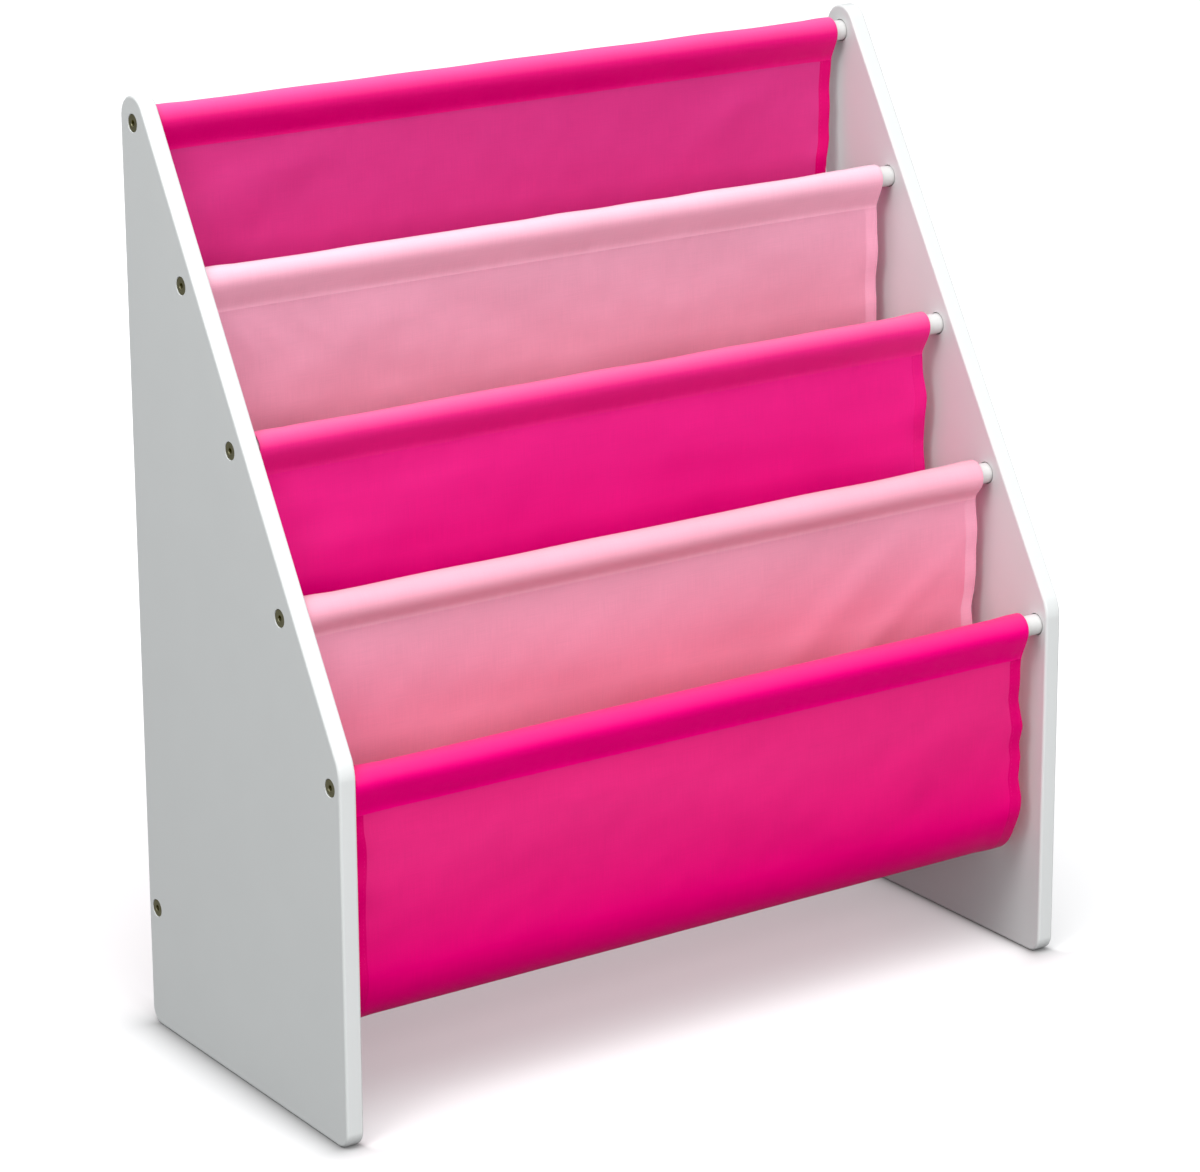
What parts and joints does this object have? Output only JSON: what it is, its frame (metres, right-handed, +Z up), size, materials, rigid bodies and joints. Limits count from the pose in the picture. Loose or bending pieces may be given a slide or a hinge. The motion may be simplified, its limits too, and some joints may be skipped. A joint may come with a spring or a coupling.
{
  "type": "sling bookshelf",
  "caption": "Low children's bookshelf with two sloping side panels joined by dowels, and cloth slings hung between them as stepped pockets for books shown cover first.",
  "frame": {"origin": "on the floor, at the centre of the bounding box's base", "axes": "+X across the shelf to the right of someone facing it, +Y from the front with the low pocket to the tall upright back edges, +Z up"},
  "size_m": [0.606, 0.269, 0.6715],
  "materials": {
    "painted_board": "satin white paint on fibreboard",
    "painted_dowel": "satin white paint on a wooden dowel",
    "bolt_steel": "dull antique-brass plating on steel",
    "insert_zinc": "plain die-cast zinc alloy",
    "dark_pink_cloth": "plain-woven synthetic cloth, matt",
    "light_pink_cloth": "plain-woven synthetic cloth, matt"
  },
  "bodies": {
    "root": {"left_side_panel": "painted_board", "right_side_panel": "painted_board", "sling_dowel_1": "painted_dowel", "sling_dowel_2": "painted_dowel", "sling_dowel_3": "painted_dowel", "sling_dowel_4": "painted_dowel", "sling_dowel_5": "painted_dowel", "rear_brace_dowel": "painted_dowel", "left_bolt_1": "bolt_steel", "left_bolt_2": "bolt_steel", "left_bolt_3": "bolt_steel", "left_bolt_4": "bolt_steel", "left_bolt_5": "bolt_steel", "left_bolt_brace": "bolt_steel", "right_bolt_1": "bolt_steel", "right_bolt_2": "bolt_steel", "right_bolt_3": "bolt_steel", "right_bolt_4": "bolt_steel", "right_bolt_5": "bolt_steel", "right_bolt_brace": "bolt_steel", "left_insert_1": "insert_zinc", "left_insert_2": "insert_zinc", "left_insert_3": "insert_zinc", "left_insert_4": "insert_zinc", "left_insert_5": "insert_zinc", "left_insert_brace": "insert_zinc", "right_insert_1": "insert_zinc", "right_insert_2": "insert_zinc", "right_insert_3": "insert_zinc", "right_insert_4": "insert_zinc", "right_insert_5": "insert_zinc", "right_insert_brace": "insert_zinc", "sling_band_1": "dark_pink_cloth", "sling_band_2": "light_pink_cloth", "sling_band_3": "dark_pink_cloth", "sling_band_4": "light_pink_cloth", "sling_band_5": "dark_pink_cloth"}
  },
  "joints": []
}
